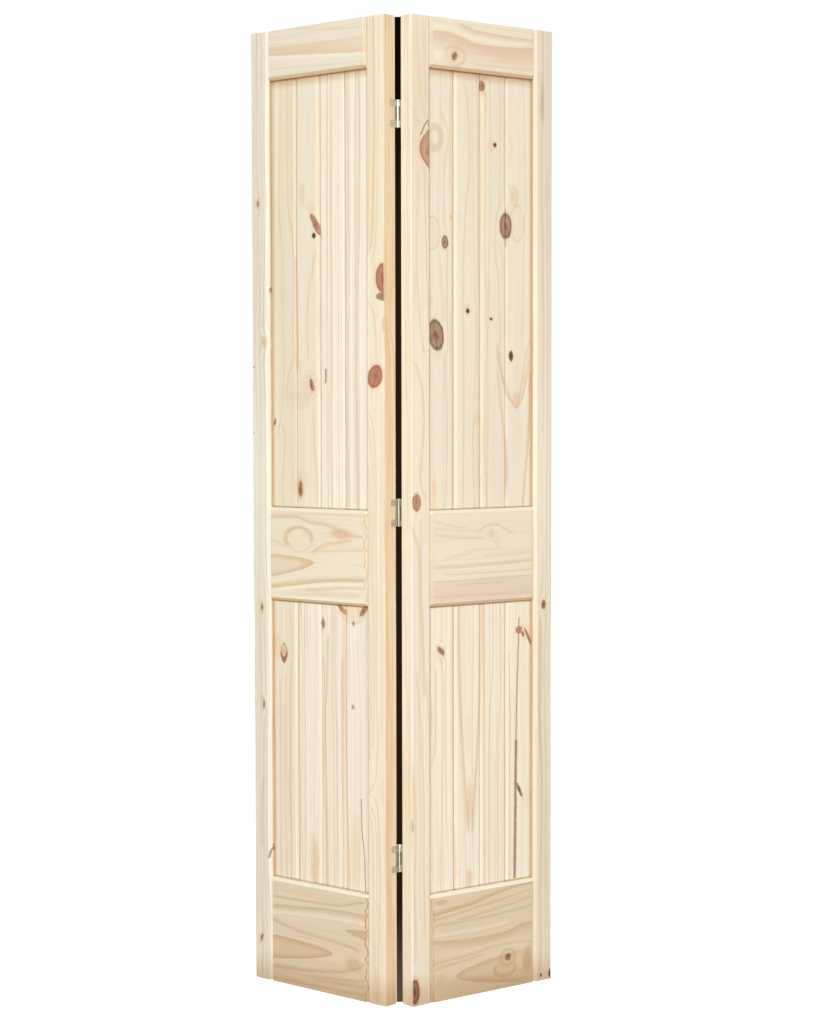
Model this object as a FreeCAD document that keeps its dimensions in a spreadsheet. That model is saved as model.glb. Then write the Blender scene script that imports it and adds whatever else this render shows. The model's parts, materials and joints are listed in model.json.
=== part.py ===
import FreeCAD, Part
import math
import os

import Sketcher
from FreeCAD import Vector

# Bifold closet door: two stile-and-rail pine leaves with V-grooved plank panels,
# folded about three surface hinges. Millimetres and degrees. The floor is Z = 0,
# the hinge pins stand at X = 0 and the leaves fold towards -Y.

doc = FreeCAD.newDocument("bifold_closet_door")

# ---------------------------------------------------------------- driving dimensions

dimensions = {
    # one leaf
    "leaf_height": 2007,
    "leaf_width": 372,
    "leaf_thickness": 34.9,
    "edge_ease": 3,
    # framing
    "outer_stile_width": 46.4,
    "hinge_stile_width": 51.3,
    "top_rail_height": 101,
    "middle_rail_height": 195.6,
    "middle_rail_bottom": 815.9,
    "bottom_rail_height": 222.6,
    "moulding_chamfer": 6.35,
    # panel groove in stiles and rails, and the rails' stub tenons that enter it
    "groove_depth": 9.5,
    "groove_clearance": 0.1,
    "tenon_end_room": 0.5,
    # planks
    "plank_count": 4,
    "plank_thickness": 9.5,
    "plank_end_room": 1,
    "plank_bevel_width": 4.6,
    "plank_bevel_depth": 2,
    "plank_gap": 0.2,
    "tongue_thickness": 3,
    "tongue_length": 4.5,
    "tongue_room": 0.4,
    # dowels in the rail joints
    "dowel_radius": 4.75,
    "dowel_clearance": 0.05,
    "dowel_reach": 17,
    "dowel_end_room": 0.8,
    "dowel_inset": 28,
    # bores for the pivots and the track guide
    "pivot_bore_radius": 4.76,
    "pivot_bore_depth": 38,
    "pivot_inset": 22,
    # fold
    "leaf_turn": 38.8,
    "closed_gap": 3.2,
    "pin_standoff": 6.4,
    # hinges
    "top_hinge_inset": 194.5,
    "middle_hinge_height": 1008,
    "bottom_hinge_height": 299.5,
    "plate_thickness": 1.5,
    "plate_width": 30,
    "plate_height": 55,
    "plate_corner": 6,
    "centre_knuckle_height": 28,
    "knuckle_clearance": 0.15,
    "ear_length": 16,
    "ear_corner": 4,
    "pin_radius": 1.7,
    "pin_clearance": 0.05,
    "pin_head_radius": 2.6,
    "pin_head_height": 0.7,
    # hinge screws
    "screw_radius": 1.75,
    "screw_length": 16,
    "screw_point": 4,
    "screw_head_radius": 3.3,
    "screw_clearance": 0.05,
    "screw_spread": 18,
    "screw_near_row": 10,
    "screw_far_row": 21,
    "drive_reach": 1.8,
    "drive_width": 0.8,
    "drive_depth": 1,
}

sheet = doc.addObject("Spreadsheet::Sheet", "Sizes")
for row, (alias, value) in enumerate(dimensions.items(), start=1):
    sheet.set(f"A{row}", alias)
    sheet.set(f"B{row}", str(value))
    sheet.setAlias(f"B{row}", alias)
doc.recompute()


# ---------------------------------------------------------------- formulas on the sheet


class Formula:
    """Arithmetic on the sheet's cells: the text of the expression and its present value."""

    def __init__(self, text, value):
        self.text = text
        self.value = value

    def combined(self, sign, other, value):
        return Formula(f"({self.text} {sign} {other.text})", value)

    def __add__(self, other):
        other = formula(other)
        return self.combined("+", other, self.value + other.value)

    def __sub__(self, other):
        other = formula(other)
        return self.combined("-", other, self.value - other.value)

    def __mul__(self, other):
        other = formula(other)
        return self.combined("*", other, self.value * other.value)

    def __truediv__(self, other):
        other = formula(other)
        return self.combined("/", other, self.value / other.value)

    def __neg__(self):
        return formula(-1) * self

    def __radd__(self, other):
        return formula(other) + self

    def __rsub__(self, other):
        return formula(other) - self

    def __rmul__(self, other):
        return formula(other) * self


def formula(value):
    return value if isinstance(value, Formula) else Formula(f"({value})", value)


def sine(angle):
    return Formula(f"sin({angle.text})", math.sin(math.radians(angle.value)))


def cosine(angle):
    return Formula(f"cos({angle.text})", math.cos(math.radians(angle.value)))


def cell(alias):
    return Formula(f"Sizes.{alias}", float(sheet.get(alias)))


leaf_height = cell("leaf_height")
leaf_width = cell("leaf_width")
leaf_thickness = cell("leaf_thickness")
edge_ease = cell("edge_ease")
chamfer = cell("moulding_chamfer")
groove_depth = cell("groove_depth")
plank_thickness = cell("plank_thickness")
plate_thickness = cell("plate_thickness")
plate_height = cell("plate_height")
closed_gap = cell("closed_gap")
leaf_turn = cell("leaf_turn")

# Each leaf is drawn closed, in a frame whose origin is on the pin axis: the distance
# outwards from the axis runs along X and the depth along Y, with the front at -Y.
back = -cell("pin_standoff")
front = back - leaf_thickness
middle = (front + back) / 2
meeting_edge = closed_gap / 2
outer_edge = meeting_edge + leaf_width
hinge_stile_edge = meeting_edge + cell("hinge_stile_width")
outer_stile_edge = outer_edge - cell("outer_stile_width")

groove_width = plank_thickness + 2 * cell("groove_clearance")
middle_rail_top = cell("middle_rail_bottom") + cell("middle_rail_height")
top_rail_bottom = leaf_height - cell("top_rail_height")

# The pin axis stands forward of the origin, so that the origin is in the middle of the
# folded door's depth.
reach_back = outer_edge * sine(leaf_turn) + back * cosine(leaf_turn)
reach_front = meeting_edge * sine(leaf_turn) + front * cosine(leaf_turn)
pin_y = -(reach_back + reach_front) / 2

LEFT = -1
RIGHT = 1

# Two places closer than this are the same corner, and a smaller cut is no cut.
same_place = 1e-6
least_cut = 1e-3


# ---------------------------------------------------------------- modelling helpers

written_bodies = []


def new_body(label, side):
    """A sub-part, drawn in its closed leaf's frame and turned with that leaf."""
    body = doc.addObject("PartDesign::Body", label)
    body.Label = label
    body.setExpression("Placement.Base.y", pin_y.text)
    body.setExpression("Placement.Rotation.Angle", (side * leaf_turn).text)
    written_bodies.append(body)
    return body


def new_sketch(body, name, plane, offset=(0, 0, 0)):
    """A sketch on one of the body's origin planes, shifted along the plane's own axes."""
    sketch = body.newObject("Sketcher::SketchObject", name)
    support = next(item for item in body.Origin.OriginFeatures if item.Role == plane)
    sketch.AttachmentSupport = [(support, "")]
    sketch.MapMode = "FlatFace"
    for axis, value in zip("xyz", offset):
        sketch.setExpression(f"AttachmentOffset.Base.{axis}", formula(value).text)
    return sketch


def bind(sketch, constraint, value):
    index = sketch.addConstraint(constraint)
    sketch.setExpression(f"Constraints[{index}]", value.text)


def place_point(sketch, geometry, point, x, y):
    """Dimension a point from the sketch's origin."""
    x, y = formula(x), formula(y)
    bind(sketch, Sketcher.Constraint("DistanceX", -1, 1, geometry, point, x.value), x)
    bind(sketch, Sketcher.Constraint("DistanceY", -1, 1, geometry, point, y.value), y)


def add_polygon(sketch, points):
    """A closed outline with every corner dimensioned."""
    corners = [Vector(formula(x).value, formula(y).value, 0) for x, y in points]
    ends = corners[1:] + corners[:1]
    first = sketch.GeometryCount
    for start, end in zip(corners, ends):
        sketch.addGeometry(Part.LineSegment(start, end), False)
    for index, (x, y) in enumerate(points):
        before = first + (index - 1) % len(points)
        sketch.addConstraint(Sketcher.Constraint("Coincident", before, 2, first + index, 1))
        place_point(sketch, first + index, 1, x, y)


def add_rectangle(sketch, x_from, x_to, y_from, y_to):
    add_polygon(sketch, [(x_from, y_from), (x_to, y_from), (x_to, y_to), (x_from, y_to)])


def add_circle(sketch, x, y, radius):
    x, y, radius = formula(x), formula(y), formula(radius)
    circle = Part.Circle(Vector(x.value, y.value, 0), Vector(0, 0, 1), radius.value)
    index = sketch.addGeometry(circle, False)
    place_point(sketch, index, 3, x, y)
    bind(sketch, Sketcher.Constraint("Radius", index, radius.value), radius)


def pad(body, sketch, length):
    """Material from the sketch along its normal."""
    feature = body.newObject("PartDesign::Pad", "Pad")
    feature.Profile = sketch
    feature.setExpression("Length", length.text)
    sketch.Visibility = False


def pad_both_ways(body, sketch, reach):
    """Material that reaches the same distance to both sides of the sketch."""
    feature = body.newObject("PartDesign::Pad", "Pad")
    feature.Profile = sketch
    feature.SideType = "Symmetric"
    feature.setExpression("Length", (2 * reach).text)
    sketch.Visibility = False


def pocket_both_ways(body, sketch, reach):
    """A blind cut: the sketch lies on the face, so only the half inside the wood cuts."""
    feature = body.newObject("PartDesign::Pocket", "Pocket")
    feature.Profile = sketch
    feature.SideType = "Symmetric"
    feature.setExpression("Length", (2 * reach).text)
    sketch.Visibility = False


def turned(body, kind, sketch):
    """A full turn of the sketch about its own vertical axis."""
    feature = body.newObject(f"PartDesign::{kind}", kind)
    feature.Profile = sketch
    feature.ReferenceAxis = (sketch, ["V_Axis"])
    feature.Angle = 360
    sketch.Visibility = False


def round_edges(body, radius, chosen):
    """Fillet the edges of the body's last feature that the test picks by their middle."""
    doc.recompute()
    base = body.Tip
    names = [
        f"Edge{number}"
        for number, edge in enumerate(base.Shape.Edges, start=1)
        if chosen(edge)
    ]
    feature = body.newObject("PartDesign::Fillet", "Fillet")
    feature.Base = (base, names)
    feature.setExpression("Radius", radius.text)


# ---------------------------------------------------------------- dowel and screw places


def dowel_heights(rail_bottom, rail_height):
    inset = cell("dowel_inset")
    return [rail_bottom + inset, rail_bottom + rail_height - inset]


rails = {
    "top": (top_rail_bottom, cell("top_rail_height")),
    "middle": (cell("middle_rail_bottom"), cell("middle_rail_height")),
    "bottom": (formula(0), cell("bottom_rail_height")),
}
all_dowel_heights = [height for rail in rails.values() for height in dowel_heights(*rail)]
hinge_heights = {
    "top": leaf_height - cell("top_hinge_inset"),
    "middle": cell("middle_hinge_height"),
    "bottom": cell("bottom_hinge_height"),
}


def screw_places(hinge_height):
    """Two screws in the row near the pin and one in the far row."""
    near = meeting_edge + cell("screw_near_row")
    far = meeting_edge + cell("screw_far_row")
    spread = cell("screw_spread")
    return [(near, hinge_height - spread), (far, hinge_height), (near, hinge_height + spread)]


# ---------------------------------------------------------------- wooden pieces


def add_stile_section(sketch, side, square, moulded, inwards):
    """Plan of a stile: a square edge and a chamfered edge with the panel groove."""
    cut = inwards * chamfer
    groove_floor = moulded - inwards * groove_depth
    plan = [
        (square, front),
        (moulded - cut, front),
        (moulded, front + chamfer),
        (moulded, middle - groove_width / 2),
        (groove_floor, middle - groove_width / 2),
        (groove_floor, middle + groove_width / 2),
        (moulded, middle + groove_width / 2),
        (moulded, back - chamfer),
        (moulded - cut, back),
        (square, back),
    ]
    add_polygon(sketch, [(side * along, depth) for along, depth in plan])


def add_stile(body, side, square, moulded, inwards):
    """The full-height stile, with the corners of its square edge rounded."""
    section = new_sketch(body, "Section", "XY_Plane")
    add_stile_section(section, side, square, moulded, inwards)
    pad(body, section, leaf_height)

    def at_square_corner(edge):
        upright = edge.BoundBox.ZLength > leaf_height.value - same_place
        return upright and abs(abs(edge.CenterOfMass.x) - square.value) < same_place

    round_edges(body, edge_ease, at_square_corner)


def bore_dowel_holes(body, side, shoulder, heights):
    sketch = new_sketch(body, "DowelHoles", "YZ_Plane", (0, 0, side * shoulder))
    for height in heights:
        add_circle(sketch, middle, height, cell("dowel_radius") + cell("dowel_clearance"))
    pocket_both_ways(body, sketch, cell("dowel_reach"))


def make_outer_stile(name, side):
    body = new_body(f"{name}_outer_stile", side)
    add_stile(body, side, outer_edge, outer_stile_edge, -1)
    bore_dowel_holes(body, side, outer_stile_edge, all_dowel_heights)
    for end_name, height in (("Lower", 0), ("Upper", leaf_height)):
        sketch = new_sketch(body, f"{end_name}PivotBore", "XY_Plane", (0, 0, height))
        across = side * (outer_edge - cell("pivot_inset"))
        add_circle(sketch, across, middle, cell("pivot_bore_radius"))
        pocket_both_ways(body, sketch, cell("pivot_bore_depth"))


def make_hinge_stile(name, side):
    body = new_body(f"{name}_hinge_stile", side)
    add_stile(body, side, meeting_edge, hinge_stile_edge, 1)
    bore_dowel_holes(body, side, hinge_stile_edge, all_dowel_heights)
    pilots = new_sketch(body, "ScrewPilots", "XZ_Plane", (0, 0, -back))
    for hinge_height in hinge_heights.values():
        for across, height in screw_places(hinge_height):
            radius = cell("screw_radius") + cell("screw_clearance")
            add_circle(pilots, side * across, height, radius)
    pocket_both_ways(body, pilots, cell("screw_length") + cell("screw_clearance"))


def make_rail(name, side, which):
    """A rail between the stiles, chamfered where it meets them and where it holds planks."""
    bottom, height = rails[which]
    top = bottom + height
    body = new_body(f"{name}_{which}_rail", side)
    near, far = hinge_stile_edge, outer_stile_edge
    tenon = groove_depth - cell("tenon_end_room")
    tenon_front = middle - plank_thickness / 2
    tenon_back = middle + plank_thickness / 2
    plan = new_sketch(body, "Plan", "XY_Plane", (0, 0, bottom))
    outline = [
        (near + chamfer, front),
        (far - chamfer, front),
        (far, front + chamfer),
        (far, tenon_front),
        (far + tenon, tenon_front),
        (far + tenon, tenon_back),
        (far, tenon_back),
        (far, back - chamfer),
        (far - chamfer, back),
        (near + chamfer, back),
        (near, back - chamfer),
        (near, tenon_back),
        (near - tenon, tenon_back),
        (near - tenon, tenon_front),
        (near, tenon_front),
        (near, front + chamfer),
    ]
    add_polygon(plan, [(side * along, depth) for along, depth in outline])
    pad(body, plan, height)
    panel_edges = {"top": [(bottom, 1)], "middle": [(bottom, 1), (top, -1)], "bottom": [(top, -1)]}
    mouldings = new_sketch(body, "Mouldings", "YZ_Plane", (0, 0, side * (near + far) / 2))
    for edge, into in panel_edges[which]:
        cut = edge + into * chamfer
        floor = edge + into * groove_depth
        add_polygon(mouldings, [(front, cut), (front, edge), (front + chamfer, edge)])
        add_polygon(mouldings, [(back, cut), (back, edge), (back - chamfer, edge)])
        add_rectangle(mouldings, middle - groove_width / 2, middle + groove_width / 2, edge, floor)
    pocket_both_ways(body, mouldings, (far - near) / 2 + groove_depth)
    for shoulder in (near, far):
        bore_dowel_holes(body, side, shoulder, dowel_heights(bottom, height))


def plank_edge(edge, outwards, joined, tongued):
    """One long edge of a plank, from its front face to its back face."""
    face, rear = middle - plank_thickness / 2, middle + plank_thickness / 2
    if not joined:
        in_groove = edge + outwards * (groove_depth - cell("plank_end_room"))
        return [(in_groove, face), (in_groove, rear)]
    sunk = cell("plank_bevel_depth")
    nose = edge - outwards * cell("plank_gap") / 2
    flat = nose - outwards * cell("plank_bevel_width")
    half = cell("tongue_thickness") / 2
    tip = nose + outwards * cell("tongue_length")
    if not tongued:
        half = half + cell("groove_clearance")
        tip = nose - outwards * (cell("tongue_length") + cell("tongue_room"))
    return [
        (flat, face),
        (nose, face + sunk),
        (nose, middle - half),
        (tip, middle - half),
        (tip, middle + half),
        (nose, middle + half),
        (nose, rear - sunk),
        (flat, rear),
    ]


def make_planks(name, side, field, bottom, top):
    """Tongued planks side by side in the grooves, counted from the hinge stile."""
    count = int(cell("plank_count").value)
    pitch = (outer_stile_edge - hinge_stile_edge) / cell("plank_count")
    room = groove_depth - cell("plank_end_room")
    for number in range(count):
        body = new_body(f"{name}_{field}_plank_{number + 1}", side)
        near = hinge_stile_edge + number * pitch
        near_edge = plank_edge(near, -1, number > 0, False)
        far_edge = plank_edge(near + pitch, 1, number < count - 1, True)
        section = new_sketch(body, "Section", "XY_Plane", (0, 0, bottom - room))
        outline = far_edge + near_edge[::-1]
        add_polygon(section, [(side * along, depth) for along, depth in outline])
        pad(body, section, top - bottom + 2 * room)


def make_dowels(name, side):
    """The dowels that tie the rails to both stiles of one leaf."""
    body = new_body(f"{name}_dowels", side)
    for shoulder in (hinge_stile_edge, outer_stile_edge):
        sketch = new_sketch(body, "Dowels", "YZ_Plane", (0, 0, side * shoulder))
        for height in all_dowel_heights:
            add_circle(sketch, middle, height, cell("dowel_radius"))
        pad_both_ways(body, sketch, cell("dowel_reach") - cell("dowel_end_room"))


# ---------------------------------------------------------------- hinges

knuckle_bore = cell("pin_radius") + cell("pin_clearance")
knuckle_radius = knuckle_bore + plate_thickness
half_plate = plate_height / 2
half_centre = cell("centre_knuckle_height") / 2
end_start = half_centre + cell("knuckle_clearance")
end_height = half_plate - end_start


def add_knuckle(body, side, start, height):
    """One knuckle: the strip that leaves the plate at the meeting edge and its barrel."""
    strip = new_sketch(body, "Strip", "XY_Plane", (0, 0, start))
    inner = side * (meeting_edge - plate_thickness)
    add_rectangle(strip, inner, side * meeting_edge, back, 0)
    pad(body, strip, height)
    barrel = new_sketch(body, "Barrel", "XY_Plane", (0, 0, start))
    add_circle(barrel, 0, 0, knuckle_radius)
    pad(body, barrel, height)


def add_back_plate(body, side, hinge_height, near):
    """The plate on the leaf's back face, with rounded far corners."""
    sketch = new_sketch(body, "Plate", "XZ_Plane", (0, 0, -back - plate_thickness))
    far = meeting_edge + cell("plate_width")
    bottom, top = hinge_height - half_plate, hinge_height + half_plate
    add_rectangle(sketch, side * near, side * far, bottom, top)
    pad(body, sketch, plate_thickness)

    def at_far_corner(edge):
        middle_point = edge.CenterOfMass
        on_far_edge = abs(abs(middle_point.x) - far.value) < same_place
        on_end = min(abs(middle_point.z - bottom.value), abs(middle_point.z - top.value)) < same_place
        return on_far_edge and on_end

    round_edges(body, cell("plate_corner"), at_far_corner)


def add_ear(body, side, start):
    """An alignment ear, bent forwards along the meeting edge."""
    inner = side * (meeting_edge - plate_thickness)
    sketch = new_sketch(body, "Ear", "YZ_Plane", (0, 0, side * (meeting_edge - plate_thickness / 2)))
    tip = back - cell("ear_length")
    add_rectangle(sketch, tip, back + plate_thickness, start, start + end_height)
    pad_both_ways(body, sketch, plate_thickness / 2)

    def at_tip_corner(edge):
        middle_point = edge.CenterOfMass
        ends = (start.value, (start + end_height).value)
        at_end = min(abs(middle_point.z - end) for end in ends) < same_place
        return abs(middle_point.y - tip.value) < same_place and at_end

    round_edges(body, cell("ear_corner"), at_tip_corner)


def bore_knuckles(body, hinge_height):
    sketch = new_sketch(body, "PinBore", "XY_Plane", (0, 0, hinge_height))
    add_circle(sketch, 0, 0, knuckle_bore)
    pocket_both_ways(body, sketch, half_plate)


def countersink_plate(body, side, hinge_height):
    """Screw holes that take the countersunk heads flush."""
    hole = cell("screw_radius") + cell("screw_clearance")
    mouth = cell("screw_head_radius") + cell("screw_clearance")
    for across, height in screw_places(hinge_height):
        sketch = new_sketch(body, "Countersink", "XY_Plane", (side * across, 0, height))
        outer = back + plate_thickness
        add_polygon(sketch, [(0, back), (hole, back), (mouth, outer), (0, outer)])
        turned(body, "Groove", sketch)


def make_eared_plate(hinge, hinge_height):
    """The left plate: centre knuckle, and an ear above and below it."""
    body = new_body(f"{hinge}_hinge_left_plate", LEFT)
    add_back_plate(body, LEFT, hinge_height, meeting_edge - plate_thickness)
    add_ear(body, LEFT, hinge_height + end_start)
    add_ear(body, LEFT, hinge_height - half_plate)
    add_knuckle(body, LEFT, hinge_height - half_centre, 2 * half_centre)
    bore_knuckles(body, hinge_height)
    countersink_plate(body, LEFT, hinge_height)


def make_plain_plate(hinge, hinge_height):
    """The right plate, with the two end knuckles."""
    body = new_body(f"{hinge}_hinge_right_plate", RIGHT)
    add_back_plate(body, RIGHT, hinge_height, meeting_edge)
    add_knuckle(body, RIGHT, hinge_height + end_start, end_height)
    add_knuckle(body, RIGHT, hinge_height - half_plate, end_height)
    bore_knuckles(body, hinge_height)
    countersink_plate(body, RIGHT, hinge_height)


def make_pin(hinge, hinge_height):
    """The pin, headed over at both ends of the barrel."""
    body = new_body(f"{hinge}_hinge_pin", RIGHT)
    sketch = new_sketch(body, "Profile", "XZ_Plane", (0, hinge_height, 0))
    shaft, head = cell("pin_radius"), cell("pin_head_radius")
    end = half_plate + cell("pin_head_height")
    outline = [
        (0, -end),
        (shaft, -end),
        (head, -half_plate),
        (shaft, -half_plate),
        (shaft, half_plate),
        (head, half_plate),
        (shaft, end),
        (0, end),
    ]
    add_polygon(sketch, outline)
    turned(body, "Revolution", sketch)


def make_screws(hinge, name, side, hinge_height):
    """The three countersunk wood screws of one plate."""
    body = new_body(f"{hinge}_hinge_{name}_screws", side)
    shank, head = cell("screw_radius"), cell("screw_head_radius")
    top = back + plate_thickness
    point = back - cell("screw_length")
    taper = point + cell("screw_point")
    for across, height in screw_places(hinge_height):
        sketch = new_sketch(body, "Screw", "XY_Plane", (side * across, 0, height))
        outline = [(0, point), (shank, taper), (shank, back), (head, top), (0, top)]
        add_polygon(sketch, outline)
        turned(body, "Revolution", sketch)
    drives = new_sketch(body, "CrossDrives", "XZ_Plane", (0, 0, -top))
    reach, half = cell("drive_reach"), cell("drive_width") / 2
    cross = [(half, half), (half, reach), (-half, reach), (-half, half), (-reach, half), (-reach, -half)]
    cross = cross + [(-x, -y) for x, y in cross]
    for across, height in screw_places(hinge_height):
        add_polygon(drives, [(side * across + x, height + y) for x, y in cross])
    pocket_both_ways(body, drives, cell("drive_depth"))


# ---------------------------------------------------------------- the door

for name, side in (("left", LEFT), ("right", RIGHT)):
    make_outer_stile(name, side)
    make_hinge_stile(name, side)
    for which in rails:
        make_rail(name, side, which)
    make_planks(name, side, "upper", middle_rail_top, top_rail_bottom)
    make_planks(name, side, "lower", cell("bottom_rail_height"), cell("middle_rail_bottom"))
    make_dowels(name, side)

for hinge, hinge_height in hinge_heights.items():
    make_eared_plate(hinge, hinge_height)
    make_plain_plate(hinge, hinge_height)
    make_pin(hinge, hinge_height)
    make_screws(hinge, "left", LEFT, hinge_height)
    make_screws(hinge, "right", RIGHT, hinge_height)

doc.recompute()

# ---------------------------------------------------------------- checks and export

for item in doc.Objects:
    if "Invalid" in item.State or "Error" in item.State:
        raise RuntimeError(f"{item.Name} failed: {item.State}")
    if item.TypeId in ("PartDesign::Pocket", "PartDesign::Groove"):
        removed = item.BaseFeature.Shape.Volume - item.Shape.Volume
        if removed < least_cut:
            raise RuntimeError(f"{item.Name} cuts nothing")

os.makedirs("parts", exist_ok=True)
for body in written_bodies:
    shape = body.Shape
    if shape.isNull() or not shape.isValid():
        raise RuntimeError(f"{body.Label} has no valid shape")
    shape.exportStep(f"parts/{body.Label}.step")
    print(f"{body.Label}: {len(shape.Solids)} solid(s), {shape.Volume / 1000:.1f} cm3")
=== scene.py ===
import json
import math

import bmesh
import bpy
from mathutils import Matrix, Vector


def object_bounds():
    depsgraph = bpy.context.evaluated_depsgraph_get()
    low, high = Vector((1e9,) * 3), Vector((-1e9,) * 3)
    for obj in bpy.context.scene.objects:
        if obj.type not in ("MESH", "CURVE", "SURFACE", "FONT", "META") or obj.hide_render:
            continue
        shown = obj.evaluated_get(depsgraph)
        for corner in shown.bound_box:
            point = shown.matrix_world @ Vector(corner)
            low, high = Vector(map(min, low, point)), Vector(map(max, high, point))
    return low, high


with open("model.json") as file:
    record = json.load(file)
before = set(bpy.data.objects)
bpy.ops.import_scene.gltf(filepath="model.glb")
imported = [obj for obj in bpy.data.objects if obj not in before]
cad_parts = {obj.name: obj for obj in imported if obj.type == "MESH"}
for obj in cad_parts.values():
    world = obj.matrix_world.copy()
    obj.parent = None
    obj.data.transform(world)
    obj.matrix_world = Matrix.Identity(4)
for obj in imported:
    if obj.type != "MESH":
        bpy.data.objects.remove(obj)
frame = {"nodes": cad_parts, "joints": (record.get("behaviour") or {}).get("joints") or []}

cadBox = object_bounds()

fold = frame["joints"][0]
pinSpot = fold["pos_m"]
leafTurn = -fold["range_deg"][0] / 2  # degrees that each leaf is turned from flat
print("frame loaded:", len(frame["nodes"]), "nodes")


def tone(colour):
    # a colour as a paint chart gives it, 0 to 255, made linear for a socket by the sRGB curve
    if isinstance(colour, Wire) or len(colour) == 4:
        return colour
    levels = [level / 255 for level in colour]
    return (*(x / 12.92 if x < 0.04045 else ((x + 0.055) / 1.055) ** 2.4 for x in levels), 1)


class Wire:
    # one output of a node; arithmetic on it adds Math nodes
    def __init__(self, paint, socket):
        self.paint = paint
        self.socket = socket

    def out(self, name):
        return Wire(self.paint, self.socket.node.outputs[name])


def arithmetic(name, operation):
    def forward(self, other):
        return self.paint.math(operation, self, other)

    def backward(self, other):
        return self.paint.math(operation, other, self)
    setattr(Wire, f"__{name}__", forward)
    setattr(Wire, f"__r{name}__", backward)


for name, operation in (("add", "ADD"), ("sub", "SUBTRACT"), ("mul", "MULTIPLY"), ("truediv", "DIVIDE")):
    arithmetic(name, operation)


class Paint:
    # the nodes of a new material, or of the world, and the ways to add to them
    def __init__(self, name, owner=None):
        self.owner = owner or bpy.data.materials.new(name)
        self.owner.use_nodes = True
        self.tree = self.owner.node_tree
        self.tree.nodes.clear()

    def node(self, kind, settings, values, output=0):
        made = self.tree.nodes.new("ShaderNode" + kind)
        for name, value in settings.items():
            if name == "curve":
                points = made.mapping.curves[0].points
                while len(points) < len(value):
                    points.new(1, 1)
                for point, place in zip(points, value):
                    point.location = place
                made.mapping.update()
            else:
                setattr(made, name, value)
        for name, value in values.items():
            if isinstance(value, Wire):
                self.tree.links.new(value.socket, made.inputs[name])
            else:
                made.inputs[name].default_value = value
        return Wire(self, made.outputs[output])

    def math(self, operation, *values):
        return self.node("Math", {"operation": operation}, dict(enumerate(values)))

    def absolute(self, value):
        return self.math("ABSOLUTE", value)

    def length(self, first, second):
        return self.math("SQRT", first * first + second * second)

    def clamp(self, value):
        return self.node("Math", {"operation": "ADD", "use_clamp": True}, {0: value, 1: 0})

    def step(self, value, low, high, start=0, end=1):
        # eases from start at low to end at high
        return self.node("MapRange", {"interpolation_type": "SMOOTHSTEP"}, {
            "Value": value, "From Min": low, "From Max": high, "To Min": start, "To Max": end})

    def fall(self, value, low, high, start=1):
        return self.step(value, low, high, start, 0)

    def mix(self, share, first, second, blend="MIX"):
        settings = {"data_type": "RGBA", "blend_type": blend}
        return self.node("Mix", settings, {0: share, 6: tone(first), 7: tone(second)}, 2)

    def vector(self, x, y, z):
        return self.node("CombineXYZ", {}, {0: x, 1: y, 2: z})

    def noise(self, spot, detail=1, roughness=0.5, output=0):
        return self.node("TexNoise", {"noise_dimensions": "3D"}, {
            "Vector": spot, "Scale": 1, "Detail": detail, "Roughness": roughness}, output)

    def split(self, wire, colour=False):
        parts = self.node("SeparateColor" if colour else "SeparateXYZ", {}, {0: wire})
        return [parts.out(i) for i in range(3)]

    def spot(self):
        return self.node("TexCoord", {}, {}, "Object")

    def surface(self, values):
        self.show(self.node("BsdfPrincipled", {}, values))

    def show(self, shader, kind="Material"):
        end = self.tree.nodes.new("ShaderNodeOutput" + kind)
        self.tree.links.new(shader.socket, end.inputs["Surface"])


def dress(nodes, paint):
    for name in nodes:
        for slot in frame["nodes"][name].material_slots:
            slot.material = paint.owner


leafPlan = {  # millimetres: where the boards of a leaf meet, counted out from the pins, forward and up
    "hingeJoint": 52.9, "outerJoint": 327.2, "grooves": (121.5, 190.1, 258.6),
    "front": -41.3, "chamferFoot": -34.9, "panelFront": -28.6,
    "bottomRailTop": 222.6, "middleRailBottom": 815.9, "middleRailTop": 1011.5, "topRailBottom": 1906,
}

pineLook = {  # what a board has unless its own look says otherwise; each gives its pale tone and its seed
    "late": (216, 184, 144), "blush": (240, 222, 200), "bright": (255, 248, 228), "ring": 9, "centre": -120,
    "pith": 60, "lean": 0, "rise": 10, "wander": 8, "wobble": 2, "pace": 30, "lines": 0.15, "streaks": 0.8,
    "mottle": 0.35, "dull": 0, "veins": 0.6, "swirl": (0, 0), "edgeTone": None, "scallops": 0, "under": 0,
    "over": 0, "shoulder": 0, "boards": [],
    # marks, listed in the order of the draw methods' values; places are out from the pins and up
    "stains": [], "tongues": [], "grooves": [], "bands": [], "loops": [], "knots": [], "cracks": [],
    "dust": [], "endChamfers": [],
}

grainScale = {  # noise cells to a millimetre: across the grain, in depth and along the grain
    "grit": (0.16, 0.16, 0.06), "drift": (1 / 150, 1 / 200, 1 / 380), "streak": (1 / 6, 1 / 7, 1 / 620),
    "field": (1 / 34, 1 / 60, 1 / 900), "fibre": (0.9, 0.9, 1 / 45),
}

casts = {  # thin casts over the wood: a duller tone for some boards, the cutter's scallops, and painted shade in the grooves, the panels' corners, the rails' chamfers, the stiles' walls and towards the foot
    "dull": (244, 240, 232), "groove": (249, 244, 238), "dust": (206, 178, 148), "sawn": (236, 232, 228),
    "scallop": (206, 172, 134), "under": (234, 221, 206), "foot": (230, 220, 208),
    "wallFoot": (244, 228, 206), "wallTop": (206, 176, 140),
}

stroke = {  # millimetres: how far drawn figure strays and how softly it begins and ends
    "stainDrift": 12, "tongueDrift": 8, "tongueGrit": 3, "loopDrift": 8, "lineDrift": 5, "lineGrit": 2.4,
    "sharp": (-1.8, 0.6), "soft": 0.3, "widening": 1.5, "fadeOut": 16, "fadeIn": 6,
    "groove": (4, 5), "grooveGleam": (0.6, 1.8), "endChamferEdge": (6.1, 6.6), "underEdge": (4, 7),
    "overEdge": (6.6, 6), "footShade": 70, "edgeRound": (1.8, 4.4), "edgeVein": (0.42, 240), "swirlReach": 90,
    "scallopWave": 26,
}

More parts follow.
